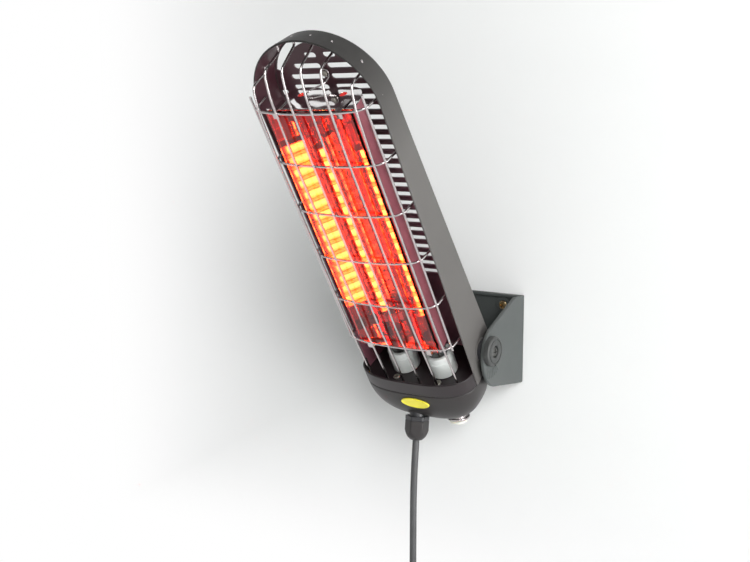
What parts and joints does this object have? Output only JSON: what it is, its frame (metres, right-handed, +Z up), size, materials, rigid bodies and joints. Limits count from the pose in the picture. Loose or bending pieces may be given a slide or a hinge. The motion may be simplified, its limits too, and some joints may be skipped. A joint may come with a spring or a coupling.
{
  "type": "wall infrared heater",
  "caption": "Tilting wall heater: rounded louvred body with glowing lamps behind red filter glass and a wire guard, held between the cheeks of a wall bracket, with supply cord.",
  "frame": {"origin": "middle of the wall bracket's back face, on the wall", "axes": "+X across to the viewer's right, -Y out of the wall into the room, +Z up"},
  "size_m": [0.1739, 0.2854, 0.6846],
  "materials": {
    "charcoal_paint": "satin charcoal paint on cast metal",
    "shell_paint": "satin charcoal paint on sheet metal",
    "polished_reflector": "bright rolled reflector sheet",
    "bright_wire": "bright plated steel wire",
    "zinc_steel": "zinc plated steel",
    "ruby_glass": "clear ruby red heat-proof glass",
    "quartz": "clear quartz glass",
    "filament": "glowing wound element wire",
    "white_ceramic": "smooth white unglazed ceramic",
    "black_plastic": "moulded black plastic",
    "yellow_plate": "bare yellow plate",
    "pale_boot": "soft translucent off-white plastic",
    "lead_sleeve": "heat-proof woven sleeve",
    "cord_rubber": "matt grey rubber sheath"
  },
  "bodies": {
    "bracket": {"wall_bracket": "charcoal_paint", "wall_screw_1": "zinc_steel", "wall_screw_2": "zinc_steel", "wall_screw_3": "zinc_steel", "wall_screw_4": "zinc_steel", "cord_hank": "cord_rubber", "hank_tie": "black_plastic", "plug_body": "black_plastic", "plug_pin_1": "zinc_steel", "plug_pin_2": "zinc_steel", "plug_earth_clip_1": "zinc_steel", "plug_earth_clip_2": "zinc_steel"},
    "head": {"body_shell": "shell_paint", "cord": "cord_rubber", "filter_glass": "ruby_glass", "gland_body": "black_plastic", "gland_locknut": "black_plastic", "gland_nut": "black_plastic", "gland_seal": "black_plastic", "glass_clip_bottom_left": "bright_wire", "glass_clip_bottom_right": "bright_wire", "glass_clip_top_left": "bright_wire", "glass_clip_top_right": "bright_wire", "hanger_screw": "zinc_steel", "lamp_base_left": "white_ceramic", "lamp_base_right": "white_ceramic", "lamp_filament_left": "filament", "lamp_filament_right": "filament", "lamp_tube_left": "quartz", "lamp_tube_right": "quartz", "lead_lamp_left": "lead_sleeve", "lead_lamp_link": "lead_sleeve", "lead_lamp_right": "lead_sleeve", "lower_bowl": "charcoal_paint", "oval_badge": "yellow_plate", "pivot_cap_left": "charcoal_paint", "pivot_cap_right": "charcoal_paint", "pivot_nut_left": "zinc_steel", "pivot_nut_right": "zinc_steel", "pivot_screw_left": "zinc_steel", "pivot_screw_right": "zinc_steel", "pivot_washer_left": "black_plastic", "pivot_washer_right": "black_plastic", "reflector_end_bottom": "polished_reflector", "reflector_end_top": "polished_reflector", "reflector_stay_1": "zinc_steel", "reflector_stay_2": "zinc_steel", "reflector_trough": "polished_reflector", "socket_tray": "charcoal_paint", "switch_housing": "pale_boot", "terminal_block": "white_ceramic", "top_hanger": "bright_wire", "tray_screw_left": "zinc_steel", "tray_screw_right": "zinc_steel", "wire_guard": "bright_wire"},
    "button": {"switch_button": "pale_boot"}
  },
  "joints": [
    {"name": "head_tilt", "type": "hinge", "parent": "bracket", "child": "head", "pos_m": [0, -0.0716, 0], "axis": [1, 0, 0], "range_deg": [-32.6, 22.4], "deforming": ["cord"]},
    {"name": "switch_press", "type": "slide", "parent": "head", "child": "button", "axis": [0, -0.1672, 0.9859], "range_m": [0, 0.0025], "stiffness_N_per_m": 400, "springref_m": -0.002}
  ]
}
